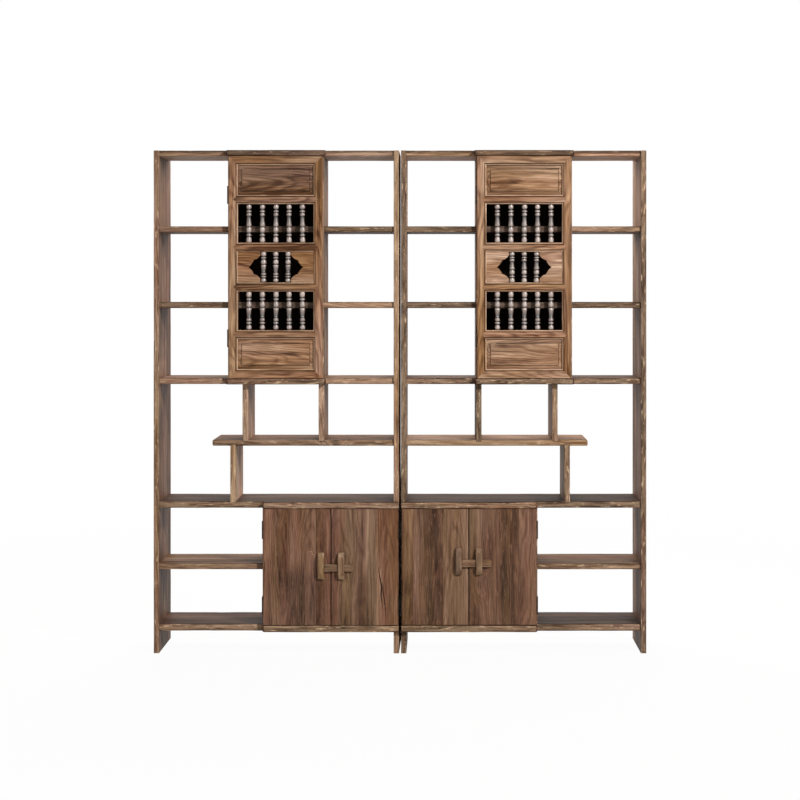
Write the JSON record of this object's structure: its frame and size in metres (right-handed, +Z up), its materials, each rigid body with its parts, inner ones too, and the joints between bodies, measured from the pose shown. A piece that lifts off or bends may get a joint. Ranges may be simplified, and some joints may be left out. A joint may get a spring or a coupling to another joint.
{
  "type": "display cabinet pair",
  "caption": "Pair of open elm display shelves with a lattice upper door, plank lower doors and a sliding wooden latch each.",
  "frame": {"origin": "on the floor under the middle of the pair", "axes": "+Z up, +Y towards the back, +X to the right as seen from the front"},
  "size_m": [2.008, 0.393, 2.05],
  "materials": {
    "carcass_wood": "waxed old elm",
    "lattice_wood": "waxed old elm",
    "turned_wood": "worn grey-brown, turned",
    "door_wood": "waxed old elm, glued boards",
    "latch_wood": "waxed old elm",
    "iron": "dark blacked iron"
  },
  "bodies": {
    "carcass": {"left_unit_outer_side": "carcass_wood", "left_unit_inner_side": "carcass_wood", "left_unit_top_board": "carcass_wood", "left_unit_upper_shelves": "carcass_wood", "left_unit_cupboard_shelves": "carcass_wood", "left_unit_cupboard_walls": "carcass_wood", "left_unit_cupboard_back": "carcass_wood", "left_unit_middle_board": "carcass_wood", "left_unit_dividers": "carcass_wood", "left_unit_stepped_shelf": "carcass_wood", "left_unit_shelf_post": "carcass_wood", "left_unit_counter_board": "carcass_wood", "left_unit_base_wall": "carcass_wood", "left_unit_base_back": "carcass_wood", "left_unit_low_shelf": "carcass_wood", "left_unit_bottom_board": "carcass_wood", "right_unit_outer_side": "carcass_wood", "right_unit_inner_side": "carcass_wood", "right_unit_top_board": "carcass_wood", "right_unit_upper_shelves": "carcass_wood", "right_unit_cupboard_shelves": "carcass_wood", "right_unit_cupboard_walls": "carcass_wood", "right_unit_cupboard_back": "carcass_wood", "right_unit_middle_board": "carcass_wood", "right_unit_dividers": "carcass_wood", "right_unit_stepped_shelf": "carcass_wood", "right_unit_shelf_post": "carcass_wood", "right_unit_counter_board": "carcass_wood", "right_unit_base_wall": "carcass_wood", "right_unit_base_back": "carcass_wood", "right_unit_low_shelf": "carcass_wood", "right_unit_bottom_board": "carcass_wood", "fixed_hinge_leaves": "iron", "hinge_pins": "iron"},
    "left_unit_upper_door": {"left_unit_upper_door_stiles": "lattice_wood", "left_unit_upper_door_rails": "lattice_wood", "left_unit_upper_door_raised_panels": "lattice_wood", "left_unit_upper_door_cusped_boards": "lattice_wood", "left_unit_upper_door_balusters": "turned_wood", "left_unit_upper_door_hinge_leaves": "iron"},
    "left_unit_left_door": {"left_unit_left_door_boards": "door_wood", "left_unit_latch_keeper": "latch_wood", "left_unit_left_door_hinge_leaves": "iron"},
    "left_unit_right_door": {"left_unit_right_door_boards": "door_wood", "left_unit_latch_post": "latch_wood", "left_unit_right_door_hinge_leaves": "iron"},
    "left_unit_latch_bar": {"left_unit_latch_bar": "latch_wood"},
    "right_unit_upper_door": {"right_unit_upper_door_stiles": "lattice_wood", "right_unit_upper_door_rails": "lattice_wood", "right_unit_upper_door_raised_panels": "lattice_wood", "right_unit_upper_door_cusped_boards": "lattice_wood", "right_unit_upper_door_balusters": "turned_wood", "right_unit_upper_door_hinge_leaves": "iron"},
    "right_unit_left_door": {"right_unit_left_door_boards": "door_wood", "right_unit_latch_keeper": "latch_wood", "right_unit_left_door_hinge_leaves": "iron"},
    "right_unit_right_door": {"right_unit_right_door_boards": "door_wood", "right_unit_latch_post": "latch_wood", "right_unit_right_door_hinge_leaves": "iron"},
    "right_unit_latch_bar": {"right_unit_latch_bar": "latch_wood"}
  },
  "joints": [
    {"name": "left_unit_upper_door_hinge", "type": "hinge", "parent": "carcass", "child": "left_unit_upper_door", "pos_m": [-0.6995, -0.1735, 1.574], "axis": [0, 0, -1], "range_deg": [0, 110]},
    {"name": "left_unit_left_door_hinge", "type": "hinge", "parent": "carcass", "child": "left_unit_left_door", "pos_m": [-0.5585, -0.1735, 0.355], "axis": [0, 0, -1], "range_deg": [0, 110]},
    {"name": "left_unit_right_door_hinge", "type": "hinge", "parent": "carcass", "child": "left_unit_right_door", "pos_m": [-0.0055, -0.1735, 0.355], "axis": [0, 0, 1], "range_deg": [0, 85]},
    {"name": "left_unit_latch_slide", "type": "slide", "parent": "left_unit_right_door", "child": "left_unit_latch_bar", "axis": [1, 0, 0], "range_m": [-0.018, 0.031]},
    {"name": "right_unit_upper_door_hinge", "type": "hinge", "parent": "carcass", "child": "right_unit_upper_door", "pos_m": [0.3115, -0.1735, 1.574], "axis": [0, 0, -1], "range_deg": [0, 110]},
    {"name": "right_unit_left_door_hinge", "type": "hinge", "parent": "carcass", "child": "right_unit_left_door", "pos_m": [0.0055, -0.1735, 0.355], "axis": [0, 0, -1], "range_deg": [0, 85]},
    {"name": "right_unit_right_door_hinge", "type": "hinge", "parent": "carcass", "child": "right_unit_right_door", "pos_m": [0.5585, -0.1735, 0.355], "axis": [0, 0, 1], "range_deg": [0, 110]},
    {"name": "right_unit_latch_slide", "type": "slide", "parent": "right_unit_right_door", "child": "right_unit_latch_bar", "axis": [1, 0, 0], "range_m": [-0.018, 0.031]}
  ]
}
